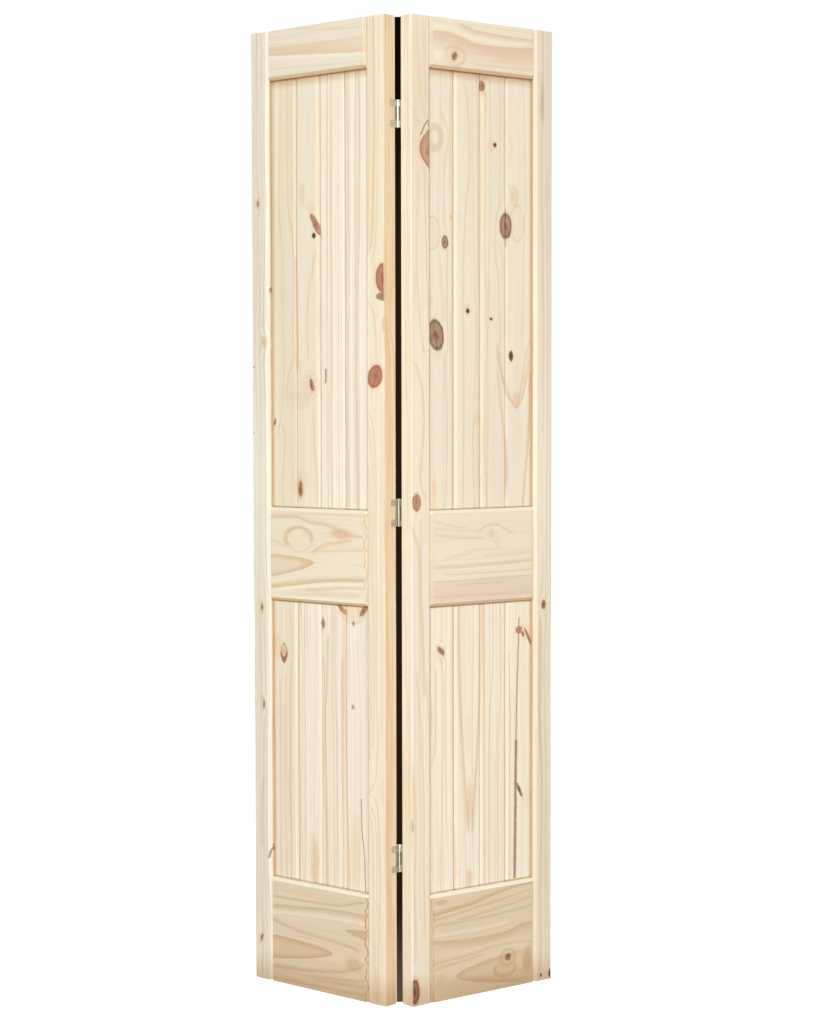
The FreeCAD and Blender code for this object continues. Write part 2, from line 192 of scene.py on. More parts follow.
knotLook = {  # core, heart, rim and halo
    "red": ((192, 145, 118), (168, 112, 88), (146, 96, 74), (236, 210, 180)),
    "crimson": ((190, 132, 108), (166, 102, 86), (152, 96, 78), (240, 212, 180)),
    "russet": ((162, 114, 88), (116, 74, 56), (100, 64, 48), (224, 194, 160)),
    "brown": ((172, 134, 106), (122, 86, 66), (132, 96, 72), (224, 198, 164)),
    "grey": ((174, 140, 116), (124, 92, 72), (92, 66, 50), (230, 208, 180)),
    "pin": ((112, 86, 66), (64, 46, 36), (108, 80, 60), (224, 200, 170)),
    "pale": ((228, 205, 174), (218, 190, 156), (216, 188, 154), (236, 217, 190)),
}


def knot(kind, at, size, halo, **more):
    usual = {"tilt": 0, "bend": 0.9, "deep": 0, "dark": 1, "glow": 0.9, "split": 0, "pointed": False}
    return {**usual, "kind": kind, "at": at, "size": size, "halo": halo, **more}


class Timber(Paint):
    # the material of a board or of a panel's planks: its places, its shared noises and its colour so far
    def __init__(self, name, look):
        super().__init__(name)
        self.look = {**pineLook, **look}
        self.lying = name.endswith("Rail")  # a rail's grain runs out, that of stiles and planks up
        self.out, self.depth, self.up = self.leafSpot(-1 if name.startswith("left") else 1)
        self.across, self.along = self.order((self.out, self.up))
        self.shift = self.look["seed"] * 7.31
        self.grit = self.cloud("grit", self.across, 2, 0.6) - 0.5
        drift = self.cloud("drift", self.across, 1.5, output=1)
        self.driftA, self.driftB, self.driftC = (part - 0.5 for part in self.split(drift, colour=True))

    def leafSpot(self, side):
        # millimetres in a leaf's own directions: out from the pins, away from the back face, up
        return self.split(self.node("Mapping", {"vector_type": "TEXTURE"}, {
            "Vector": self.spot(), "Location": pinSpot, "Rotation": (0, 0, math.radians(side * leafTurn)),
            "Scale": (side * 0.001, 0.001, 0.001)}))

    def order(self, pair):
        # out and up of a place, put as across and along the grain
        return pair[::-1] if self.lying else pair

    def cloud(self, kind, beside, detail, roughness=0.5, output=0, start=None):
        wide, deep, tall = grainScale[kind]
        first, second = start or (self.shift, 0)
        spot = self.vector(beside * wide + first, self.depth * deep + second, self.along * tall)
        return self.noise(spot, detail, roughness, output)

    def pieced(self, key):
        # boards glued side by side: a value changes at each joint
        value = last = self.look[key]
        for board in self.look["boards"]:
            if key in board:
                joint = self.math("GREATER_THAN", self.across, board["from"])
                value = value + joint * (board[key] - last)
                last = board[key]
        return value

    def cover(self, share, colour):
        # lays a colour over what is there
        self.colour = self.mix(share, self.colour, colour)

    def shade(self, share, cast):
        self.cover(share, self.mix(1, self.colour, casts[cast], "MULTIPLY"))

    def around(self, at, size, drift):
        # out and up from a mark's middle in its half sizes, and the distance
        a = (self.out - at[0] + self.driftA * drift) * (2 / size[0])
        b = (self.up - at[1] + self.driftC * drift) * (2 / size[1])
        return a, b, self.length(a, b)

    def knotShape(self, knot):
        # the square of the distance from its middle, 1 at the rim, the way across and the push on the grain
        middleAcross, middleAlong = self.order(knot["at"])
        wide, tall = self.order(knot["size"])
        offAcross, offAlong = self.across - middleAcross, self.along - middleAlong
        lean = math.radians(knot["tilt"])
        turned = (offAcross * math.cos(lean) + offAlong * math.sin(lean)) * (2 / wide)
        raised = (offAlong * math.cos(lean) - offAcross * math.sin(lean)) * (2 / tall)
        square = turned * turned + raised * raised
        if knot["pointed"]:
            lens = self.absolute(turned) + raised * raised
            square = lens * lens
        if knot["deep"]:
            sunk = (self.depth - leafPlan["front"]) / knot["deep"]
            square = square + sunk * sunk
        push = 0
        if knot["bend"]:
            swell = offAcross * (2.2 / wide / knot["halo"])
            rise = offAlong * (1.1 / tall / knot["halo"])
            push = offAcross * knot["bend"] / (1 + swell * swell + rise * rise)
        return square, turned, push

    def grow(self):
        # yearly rings round a pith that leans and rises along the board, with its knots pushing them aside
        look = self.look
        bent = self.across + self.driftA * (2 * look["wander"])
        self.knots = []
        for knot in look["knots"]:
            square, turned, push = self.knotShape(knot)
            self.knots.append((knot, square, turned))
            if knot["bend"]:
                bent = bent - push
        centre, pith, ring, lines = (self.pieced(key) for key in ("centre", "pith", "ring", "lines"))
        beside = bent - centre - self.along * (look["lean"] / 1000) + self.driftC * (2 * look["wander"])
        reach = self.length(beside, self.depth + pith + self.along * (look["rise"] / 1000))
        pace = self.noise(self.vector(reach / look["pace"], self.shift, self.shift + 5), 2)
        stray = reach + self.driftB * (6 * look["wobble"]) + self.grit * (0.8 * look["wobble"])
        rings = stray / ring + pace * 3.4
        for knot, square, turned in self.knots:
            rings = rings + self.math("EXPONENT", square * (-0.8 / knot["halo"] ** 2)) * 1.2
        part = self.math("FRACT", rings)
        year = self.math("FLOOR", rings) + self.shift
        strength = self.node("TexWhiteNoise", {"noise_dimensions": "1D"}, {"W": year})
        late = self.step(part, 0.25, 0.88) * self.fall(part, 0.9, 1) * (0.25 + strength * strength * 0.75)

        self.streak = self.cloud("streak", bent, 3, 0.62)
        field = self.cloud("field", bent, 1.5, start=(self.shift, 3))
        self.fibre = self.cloud("fibre", bent, 2, 0.7, start=(0, 0))
        self.figure = self.clamp(late * lines + (self.streak - 0.46) * look["streaks"])
        self.colour = self.mix(self.figure, look["pale"], look["late"])
        self.cover(self.clamp((field - 0.46) * (4 * look["mottle"])), look["blush"])
        self.shade(self.pieced("dull"), "dull")

    def drawStain(self, strength, at, size, colour, soft=0.5):
        a, b, distance = self.around(at, size, stroke["stainDrift"])
        spread = distance + self.grit * 0.5 + (self.streak - 0.5) * 0.3
        self.cover(self.fall(spread, 1 - soft, 1, strength), colour)

    def drawTongue(self, strength, tip, length, slope, spread, fill, border=9, fade=2):
        # a pointed patch that opens along the grain, darker in its border
        tipAcross, tipAlong = self.order(tip)
        opened = (self.along - tipAlong) * (1 / length)
        middle = self.across - tipAcross - opened * slope + self.driftA * stroke["tongueDrift"]
        half = self.math("SQRT", self.clamp(opened)) * spread
        inside = half - self.absolute(middle) + self.grit * stroke["tongueGrit"]
        share = self.step(inside, 0, 2) * self.step(inside, 1, border, 1, fill)
        self.cover(share * self.step(opened, fade, fade * 0.5) * strength, self.look["late"])

    def drawGroove(self, joint):
        # painted shade on the groove's flanks, and a painted highlight along its bottom
        off = self.absolute(self.out - joint)
        self.shade(self.fall(off, *stroke["groove"]), "groove")
        self.cover(self.fall(off, *stroke["grooveGleam"], 0.4), self.look["bright"])

    def drawBand(self, strength, wide, *line):
        # a line of the figure, bright below strength 0, and soft on the side that the sign of wide says
        share = abs(strength)
        spots = sorted(self.order(spot)[::-1] for spot in line)
        start, end = spots[0][0], spots[-1][0]
        low, high = min(spot[1] for spot in spots), max(spot[1] for spot in spots) + 0.01
        curve = [((far - start) / (end - start), (beyond - low) / (high - low)) for far, beyond in spots]
        way = self.clamp((self.along - start) * (1 / (end - start)))
        middle = self.node("FloatCurve", {"curve": curve}, {"Value": way}) * (high - low) + low
        waver = self.grit * stroke["lineGrit"] + self.driftB * stroke["lineDrift"]
        off = (self.across - middle + waver) * (1 if wide > 0 else -1)
        soft, fadeOut, fadeIn = stroke["soft"], stroke["fadeOut"], stroke["fadeIn"]
        mark = self.step(off, *stroke["sharp"]) * self.fall(off, soft, abs(wide) * stroke["widening"])
        mark = mark * self.step(self.along, start - fadeOut, start + fadeIn)
        mark = mark * self.fall(self.along, end - fadeIn, end + fadeOut)
        mark = mark * (share * 0.7 + self.streak * share * 0.6)
        self.cover(mark, self.look["late" if strength > 0 else "bright"])

    def drawLoop(self, strength, wide, at, size, opening=None):
        a, b, distance = self.around(at, size, stroke["loopDrift"])
        off = self.absolute((distance - 1) * (min(size) / 2) + self.grit * stroke["lineGrit"])
        mark = self.fall(off, wide * 0.2, wide, strength)
        if opening:
            mark = mark * self.fall(a * opening[0] + b * opening[1], 0.2, 0.8)
        self.cover(mark, self.look["late"])

    def drawKnot(self, knot, square, turned):
        core, heart, rim, halo = knotLook[knot["kind"]]
        edge, glow = knot["halo"], knot["glow"]
        rough = min(0.6, 7 / min(knot["size"]))
        span = self.math("SQRT", square) + self.grit * rough + (self.streak - 0.5) * rough
        share = self.step(span, 0.9, edge * 0.9, glow, glow * 0.45)
        self.cover(share * self.fall(span, edge * 0.92, edge * 1.1), halo)
        mottled = self.clamp(self.step(span, 0.1, 0.5) + self.grit * 3.2)
        core = self.mix(mottled, heart, core)
        core = self.mix(self.step(span, 0.72, 0.95) * 0.85, core, rim)
        if knot["split"]:
            slit = self.absolute(turned + (self.streak - 0.5) * 0.5 + self.grit * 0.7)
            core = self.mix(self.fall(slit, 0.02, 0.12, knot["split"]), core, rim)
        self.cover(self.fall(span, 0.86, 1.1, knot["dark"]), core)

    def drawCrack(self, strength, wide, rough, colour, *line):
        for (fromOut, fromUp), (toOut, toUp) in zip(line, line[1:]):
            share = self.clamp((self.up - fromUp) * (1 / (toUp - fromUp)))
            off = self.absolute(self.out - fromOut - share * (toOut - fromOut) + self.grit * rough)
            low, high = sorted((fromUp, toUp))
            held = self.step(self.up, low - 2, low + 2) * self.fall(self.up, high - 2, high + 2)
            self.cover(self.fall(off, wide * 0.3, wide, strength) * held, colour)

    def drawCornerShade(self, kind, place, reach, strength):
        # painted shade along a panel's joint with its frame, fading over the reach
        near = (self.out if kind == "out" else self.up) - place
        self.shade(self.fall(near * (1 / reach), 0, 1, strength), "dust")

    def drawEndChamfer(self, end):
        # the rail's end chamfer, partly covered with the board's pale tone, then given a painted shade that
        # dims the light it catches
        cut = self.fall(self.absolute(self.out - end), *stroke["endChamferEdge"])
        self.cover(cut * 0.6, self.look["pale"])
        self.shade(cut, "sawn")

    def drawScallops(self, strength):
        # the cutter's chatter beside a rail's end
        uneven = self.noise(self.vector(self.up / stroke["scallopWave"], self.shift, 0), 2, 0.6)
        arc = self.absolute(self.math("SINE", self.up * 0.07 + uneven * 9))
        off = self.absolute(self.out - leafPlan["hingeJoint"] - 0.8 - arc * (2.5 + uneven * 4) + self.grit)
        mark = self.fall(off, 0.2, 1.3) * self.step(uneven, 0.3, 0.6, strength * 0.3, strength)
        self.shade(mark, "scallop")

    def drawShoulder(self, joint):
        # the stile's wall above the planks, with a painted shade that darkens towards them
        foot = leafPlan["chamferFoot"]
        near = self.fall(self.absolute(self.out - joint), 0.5, 1)
        wall = self.step(self.depth, foot - 0.3, foot + 0.3) * near
        share = self.step(self.depth, -33, leafPlan["panelFront"])
        wallTone = self.mix(share, casts["wallFoot"], casts["wallTop"])
        self.cover(wall, self.mix(1, self.colour, wallTone, "MULTIPLY"))

    def drawMeetingEdge(self, edgeTone):
        (swirlAt, swirl), (fine, tall) = self.look["swirl"], stroke["edgeVein"]
        edge = self.fall(self.out, *stroke["edgeRound"])
        turn = self.fall(self.absolute(self.up - swirlAt), 0, stroke["swirlReach"], swirl)
        veinSpot = self.vector(self.depth * fine + self.driftA * 6 + turn, self.shift, self.along / tall)
        vein = self.step(self.noise(veinSpot, 2, 0.6), 0.5, 0.62, 0, self.look["veins"])
        self.cover(edge * 0.7, edgeTone)
        self.cover(edge * vein, self.look["late"])

    def finish(self):
        # a painted shade towards the foot, the fibres and the surface
        self.shade(self.fall(self.up, 0, stroke["footShade"]), "foot")
        fibres = self.mix(self.fibre, (0.94, 0.94, 0.94, 1), (1.05, 1.05, 1.05, 1))
        self.cover(1, self.mix(1, self.colour, fibres, "MULTIPLY"))
        self.surface({
            "Base Color": self.colour, "Roughness": 0.72 - self.figure * 0.15, "Specular IOR Level": 0.3,
            "Normal": self.node("Bump", {}, {"Strength": 0.35, "Distance": 0.0003, "Height": self.fibre})})


def placeLook(name):
    # where a board of this kind has its grooves and end chamfers, and where its painted shade and painted
    # highlight go
    inner, outer = leafPlan["hingeJoint"], leafPlan["outerJoint"]
    if name.endswith("Rail"):
        ends = {"endChamfers": [(inner,), (outer,)]}
        if "Top" in name:
            return {**ends, "under": leafPlan["topRailBottom"]}
        if "Middle" in name:
            return {**ends, "under": leafPlan["middleRailBottom"], "over": leafPlan["middleRailTop"]}
        return {**ends, "over": leafPlan["bottomRailTop"]}
    if name.endswith("OuterStile"):
        return {"shoulder": outer}
    if name.endswith("HingeStile"):
        return {}
    low, high, under = leafPlan["bottomRailTop"], leafPlan["middleRailBottom"], 6
    if "Upper" in name:
        low, high, under = leafPlan["middleRailTop"], leafPlan["topRailBottom"], 24
    return {"grooves": [(joint,) for joint in leafPlan["grooves"]], "dust": [
        ("out", inner, 9, 0.4), ("out", outer, -9, 0.7), ("up", low, 5, 1), ("up", high, -under, 0.7),
        ("up", high, -6, 1)]}


def pine(name, ownLook):
    # leftTopRail is the node left_top_rail, and leftUpperPanel the planks left_upper_plank_1 to 4
    timber = Timber(name, {**placeLook(name), **ownLook})
    look = timber.look
    timber.grow()
    for draw, marks in (
            (timber.drawStain, look["stains"]), (timber.drawTongue, look["tongues"]),
            (timber.drawGroove, look["grooves"]), (timber.drawBand, look["bands"]),
            (timber.drawLoop, look["loops"]), (timber.drawKnot, timber.knots),
            (timber.drawCrack, look["cracks"]), (timber.drawCornerShade, look["dust"]),
            (timber.drawEndChamfer, look["endChamfers"])):
        for mark in marks:
            draw(*mark)
    if look["scallops"]:
        timber.drawScallops(look["scallops"])
    # painted shade on a rail's downward chamfer
    if look["under"]:
        low, high = stroke["underEdge"]
        timber.shade(timber.fall(timber.up, look["under"] + low, look["under"] + high), "under")
    # painted highlight on a rail's upward chamfer
    if look["over"]:
        low, high = stroke["overEdge"]
        timber.cover(timber.step(timber.up, look["over"] - low, look["over"] - high, 0, 0.9), look["bright"])
    if look["shoulder"]:
        timber.drawShoulder(look["shoulder"])
    if look["edgeTone"]:
        timber.drawMeetingEdge(look["edgeTone"])
    timber.finish()
    words = "".join("_" + letter.lower() if letter.isupper() else letter for letter in name)
    dress([node for node in frame["nodes"] if node.startswith(words.replace("panel", "plank"))], timber)
    print("pine dressed:", name)


pine("leftOuterStile", {
    "pale": (241, 234, 217), "late": (214, 196, 166), "centre": -60, "pith": 20, "seed": 1, "lines": 0.9,
    "bands": [
        (0.35, 4, (352, 2000), (353, 1700), (349, 1300), (352, 900), (348, 300), (352, 10)),
        (0.5, 8, (346, 430), (350, 380), (352, 330), (350, 290)),
    ],
    "stains": [(0.5, (350, 1050), (80, 700), (250, 245, 230), 0.9)],
    "knots": [
        knot("brown", (354.8, 1650.4), (7, 14), 2.2, dark=0.7),
        knot("brown", (349.1, 798.3), (7, 15), 1.8, dark=0.9),
        knot("brown", (344.6, 591.4), (6, 18), 1.8, dark=0.9),
        knot("brown", (354.2, 88.7), (6, 16), 2.4, tilt=15),
        knot("pale", (340, 1360), (14, 22), 1.6, dark=0.8), knot("pin", (369.2, 1307.6), (3, 4), 1.4, bend=0),
        knot("pin", (370.2, 1167.7), (2, 3), 1.4, bend=0),
        knot("brown", (325.5, 1468.8), (6, 12), 1.6, dark=0.6), knot("pin", (323, 290), (8, 12), 1.4),
    ],
    "cracks": [(0.8, 3, 2, (150, 112, 82), (323, 290), (329, 280), (333, 262))],
})
pine("leftHingeStile", {
    "pale": (249, 240, 219), "late": (226, 190, 142), "blush": (244, 218, 180), "ring": 6.5, "centre": -40,
    "pith": 14, "lines": 0.35, "seed": 2, "edgeTone": (224, 201, 169), "veins": 1, "swirl": (1405, 4.5),
    "bands": [
        (0.35, 4, (15, 2000), (14, 1850), (16, 1750), (18, 1650), (22, 1580), (27, 1540), (33, 1520)),
        (0.6, -7, (31, 2000), (30, 1880), (29, 1800), (31, 1720), (34, 1640), (37, 1580), (43, 1540)),
        (0.4, 3, (36, 2000), (35, 1850), (36, 1750), (39, 1650), (42, 1580), (47, 1535)),
        (0.45, 4, (44, 2000), (42, 1800), (44, 1650), (48, 1560)),
        (0.4, 4, (47, 1438), (36, 1425), (28, 1404), (24, 1375), (22, 1330)),
        (0.3, 4, (8, 1240), (9, 1180), (10, 1000), (10, 800), (9, 690), (11, 560)),
        (0.4, 4, (45, 1212), (34, 1190), (27, 1150), (24, 1090), (24, 960), (22, 850), (24, 700), (20, 560)),
        (0.35, 4, (46, 1185), (37, 1150), (33, 1100), (32, 1000), (34, 900), (31, 760), (31, 640), (33, 530)),
        (0.45, 5, (44, 1100), (41, 1000), (43, 850), (40, 700), (41, 580), (46, 500)),
        (0.4, 4, (20, 560), (22, 510), (27, 468), (36, 444), (46, 438)),
        (0.45, -5, (46, 432), (31, 420), (23, 392), (20, 330), (19, 250), (23, 150), (25, 60), (26, 8)),
        (0.4, -4, (47, 408), (37, 398), (30, 368), (27, 320), (28, 240), (31, 140), (30, 8)),
        (0.4, -4, (46, 380), (38, 350), (36, 280), (38, 180), (38, 8)),
    ],
    "knots": [
        knot("crimson", (4, 1482), (42, 60), 1.3, deep=6, split=0.4),
        knot("brown", (2, 1445), (44, 20), 1.2, deep=6, dark=0.9, pointed=True, bend=0.2),
        knot("crimson", (26.5, 1284), (39, 50), 1.25, deep=12, tilt=22, split=0.5),
        knot("pale", (1.6, 1388), (10, 30), 1.4, deep=11, bend=0, dark=0.9),
    ],
    "stains": [
        (0.45, (10, 440), (18, 70), (244, 218, 180), 0.6), (0.4, (26, 30), (60, 120), (234, 208, 170), 0.8),
    ],
})
pine("leftTopRail", {
    "pale": (240, 232, 213), "late": (230, 202, 170), "ring": 26, "centre": 1840, "seed": 3, "lines": 0.2,
    "streaks": 0.6,
    "bands": [
        (0.75, 20, (50, 1941), (60, 1938), (125, 1942), (225, 1950), (325, 1958)),
        (0.5, -16, (50, 1970), (150, 1970), (325, 1974)), (0.4, 4, (50, 1985), (150, 1992), (250, 2005)),
        (0.35, 4, (50, 1916), (320, 1928)), (-0.5, -7, (50, 1936), (125, 1940), (225, 1948), (325, 1955)),
    ],
})
pine("leftMiddleRail", {
    "pale": (245, 233, 212), "late": (221, 190, 148), "ring": 28, "centre": 740, "seed": 4, "streaks": 0.6,
    "wander": 4, "scallops": 0.6,
    "bands": [
        (0.35, 4, (50, 1001), (150, 999), (250, 1001)),
        (0.6, 9, (125, 967), (150, 973), (175, 978), (200, 980), (225, 985), (250, 991), (290, 990),
             (325, 987)),
        (0.55, -8, (100, 952), (125, 947), (150, 944), (175, 938), (190, 930), (200, 924)),
        (0.4, 6, (50, 929), (100, 927), (150, 924), (195, 922)), (0.4, 6, (282, 928), (300, 935), (325, 941)),
        (0.8, 10, (50, 867), (100, 865), (150, 862), (200, 857), (250, 851), (325, 842)),
        (0.45, 8, (50, 849), (100, 849), (165, 843), (215, 840)), (0.4, 8, (80, 833), (200, 829), (325, 821)),
        (-0.7, -5, (50, 861), (150, 857), (325, 836)), (-0.7, 9, (50, 820), (325, 823)),
    ],
    "loops": [(0.6, 6, (242, 949), (76, 44), (-0.3, -0.9)), (0.3, 4, (240, 946), (74, 50))],
    "stains": [
        (0.9, (118, 961), (96, 30), (224, 192, 154), 0.75), (0.5, (75, 957), (50, 10), (222, 190, 148)),
        (0.35, (222, 957), (30, 22), (232, 200, 170), 0.7),
    ],
    "tongues": [(0.8, (197, 900), 120, -10, 24, 0.35, 14), (0.5, (197, 900), 50, -3, 14, 1, 9, 1)],
})
pine("leftBottomRail", {
    "pale": (231, 213, 186), "late": (202, 168, 122), "ring": 30, "seed": 5, "streaks": 0.6, "wander": 5,
    "scallops": 1,
    "bands": [
        (0.5, 5, (50, 206), (75, 202), (100, 196), (125, 190), (200, 185), (325, 181)),
        (0.55, -9, (50, 180), (100, 181), (150, 180), (200, 176), (250, 171), (325, 165)),
        (0.45, 8, (80, 100), (100, 105), (150, 110), (200, 113), (250, 118), (325, 131)),
        (0.5, 9, (55, 78), (75, 65), (100, 55), (125, 48), (150, 45), (200, 38), (250, 33), (325, 30)),
        (0.4, 5, (50, 42), (100, 35), (200, 27)), (0.35, 5, (50, 28), (200, 20)),
        (0.35, 5, (50, 10), (325, 5)), (-0.35, 8, (50, 160), (150, 158), (325, 146)),
    ],
    "stains": [(0.55, (92, 74), (70, 42), (208, 174, 128), 0.7)],
    "tongues": [(0.75, (148, 86), 172, -12, 27, 0.5, 16), (0.65, (115, 141), -60, -2, 11, 0.9, 9, 3)],
})
pine("leftUpperPanel", {
    "pale": (251, 246, 231), "late": (222, 195, 158), "pith": 20, "seed": 6, "lines": 0.55,
    "boards": [{"from": 193, "centre": 216, "pith": 50, "ring": 24, "lines": 0.15, "dull": 0.85}],
    "bands": [
        (0.55, 6, (77, 1906), (79, 1600), (84, 1400), (84, 1200), (82, 1011)),
        (0.5, -7, (91, 1906), (93, 1500), (90, 1011)), (0.45, 4, (107, 1906), (108, 1400), (106, 1011)),
        (0.6, -7, (121, 1906), (121, 1500), (120, 1300), (122, 1011)),
        (0.4, 4, (152, 1906), (155, 1400), (152, 1011)), (0.35, 3, (136, 1906), (137, 1300), (134, 1011)),
        (0.5, 4, (165, 1906), (167, 1500), (166, 1011)),
        (0.65, 5, (188, 1906), (189, 1500), (188, 1200), (190, 1011)),
        (-0.6, 7, (194, 1906), (195, 1500), (193, 1150), (192, 1011)),
        (0.45, 7, (250, 1906), (250, 1850), (254, 1730), (255, 1610), (253, 1520)),
        (0.9, 9, (255, 1530), (253, 1470), (252, 1400), (251, 1350), (253, 1305)),
        (0.5, -5, (282, 1906), (283, 1700), (282, 1650), (275, 1610), (267, 1550), (266, 1450), (268, 1380),
             (267, 1340), (274, 1305), (286, 1270), (288, 1240)),
        (0.45, 4, (301, 1906), (304, 1700), (305, 1660), (301, 1600), (295, 1520), (294, 1400), (292, 1340),
             (296, 1240), (304, 1190), (312, 1165)),
        (0.5, -5, (306, 1190), (298, 1180), (294, 1150), (297, 1100), (300, 1060), (299, 1020)),
        (0.45, 6, (200, 1540), (211, 1500), (217, 1470), (222, 1430), (224, 1380), (221, 1330)),
        (0.4, 5, (209, 1215), (207, 1180), (205, 1140), (198, 1090), (196, 1020)),
        (0.4, 4, (317, 1906), (319, 1500), (318, 1240)), (0.35, 3, (268, 1906), (268, 1700), (262, 1640)),
    ],
    "stains": [
        (0.5, (240, 1662), (24, 62), (226, 208, 176)), (0.3, (216, 1634), (34, 34), (234, 208, 182)),
        (0.55, (216, 1268), (46, 62), (236, 206, 176), 0.35),
        (0.4, (262, 1280), (56, 120), (232, 216, 184), 0.35),
        (0.35, (252, 1236), (74, 50), (228, 210, 176), 0.3),
        (0.35, (249, 1066), (54, 80), (238, 212, 182), 0.3),
        (0.85, (248, 1054), (34, 56), (234, 196, 160), 0.6),
    ],
    "loops": [(0.3, 2.5, (216, 1268), (44, 62))],
    "knots": [
        knot("red", (201, 1600), (15, 52), 1.4, tilt=-30), knot("pin", (206, 1577), (11, 12), 1.4),
        knot("brown", (213.5, 1268), (10, 25), 1.5, tilt=-15), knot("brown", (247, 1051.2), (12, 33), 1.5),
        knot("brown", (320.4, 1191.2), (6, 16), 1.4, bend=0.5, tilt=15),
    ],
    "cracks": [(0.8, 3.4, 2, (120, 106, 90), (173.5, 1301), (173, 1284), (174.5, 1272))],
})
pine("leftLowerPanel", {
    "pale": (250, 243, 227), "centre": -150, "pith": 20, "seed": 7, "lines": 0.45,
    "boards": [{"from": 259, "dull": 0.7}],
    "bands": [
        (0.55, 10, (119, 816), (122, 700), (121, 600), (117, 450), (112, 300), (110, 223)),
        (0.5, -8, (133, 700), (133, 500), (130, 350), (132, 223)),
        (0.45, 4, (147, 816), (150, 700), (145, 520), (143, 223)),
        (0.45, 4, (158, 816), (157, 650), (153, 500), (152, 223)),
        (0.6, 5, (168, 740), (172, 640), (177, 540), (174, 430), (171, 223)),
        (0.5, -5, (185, 700), (182, 600), (184, 460), (179, 350), (177, 223)),
        (0.5, 3, (234, 816), (236, 650), (234, 500), (238, 223)),
        (0.65, 4, (249, 816), (252, 600), (251, 400), (252, 223)),
        (-0.6, 7, (261, 816), (262, 500), (261, 223)),
        (0.5, 3, (275, 680), (279, 600), (278, 450), (277, 223)),
        (0.4, 3, (290, 650), (293, 500), (290, 223)), (0.45, 4, (306, 640), (307, 450), (304, 223)),
        (-0.5, 8, (194, 816), (195, 500), (196, 380)),
    ],
    "stains": [
        (0.6, (209, 262), (40, 190), (226, 190, 150), 0.8), (0.4, (97, 300), (50, 250), (232, 208, 172), 0.8),
        (0.5, (318, 716), (34, 66), (232, 204, 164)), (0.45, (100, 812), (76, 72), (232, 206, 170), 0.3),
        (0.3, (185, 768), (22, 44), (232, 206, 172)),
    ],
    "loops": [(0.3, 5, (100, 816), (80, 76))],
    "knots": [
        knot("russet", (297, 703), (20, 46), 1.2, pointed=True, dark=0.9),
        knot("pale", (297.5, 709), (15, 30), 1, pointed=True, bend=0, glow=0),
        knot("grey", (184.3, 773.6), (12, 25), 1.3, pointed=True, dark=0.85),
        knot("red", (131, 806), (10, 34), 1.4, dark=0.9, tilt=-51),
        knot("brown", (70, 806), (12, 32), 1.4, tilt=44, dark=0.9),
        knot("pin", (99, 778), (5, 8), 2, dark=0.7), knot("brown", (100.9, 605.1), (7, 8), 1.8, dark=0.6),
    ],
    "cracks": [(0.8, 2.2, 2, (170, 130, 104), (78.5, 416.6), (77, 350), (70, 300), (67.5, 225.2))],
})
pine("rightOuterStile", {
    "pale": (239, 227, 209), "late": (214, 186, 154), "ring": 11, "centre": 300, "pith": 30, "seed": 8,
    "lines": 0.9,
    "bands": [
        (0.3, -4, (360, 1700), (362, 1200), (358, 800), (362, 200)),
        (0.4, 6, (342, 760), (345, 650), (341, 560), (345, 400), (340, 200)),
    ],
    "stains": [
        (0.4, (350, 1750), (80, 900), (228, 208, 186), 0.9),
        (0.8, (348, 1858), (14, 130), (206, 172, 148), 0.8),
        (0.5, (350, 1050), (80, 800), (247, 240, 222), 0.9),
        (0.3, (350, 250), (80, 900), (228, 208, 186), 0.9),
    ],
    "knots": [
        knot("russet", (351.4, 803.9), (11, 20), 1.7, dark=0.95), knot("pin", (345.2, 11.7), (5, 8), 1.6),
        knot("pin", (370.5, 12), (10, 20), 1.4, deep=9),
    ],
})
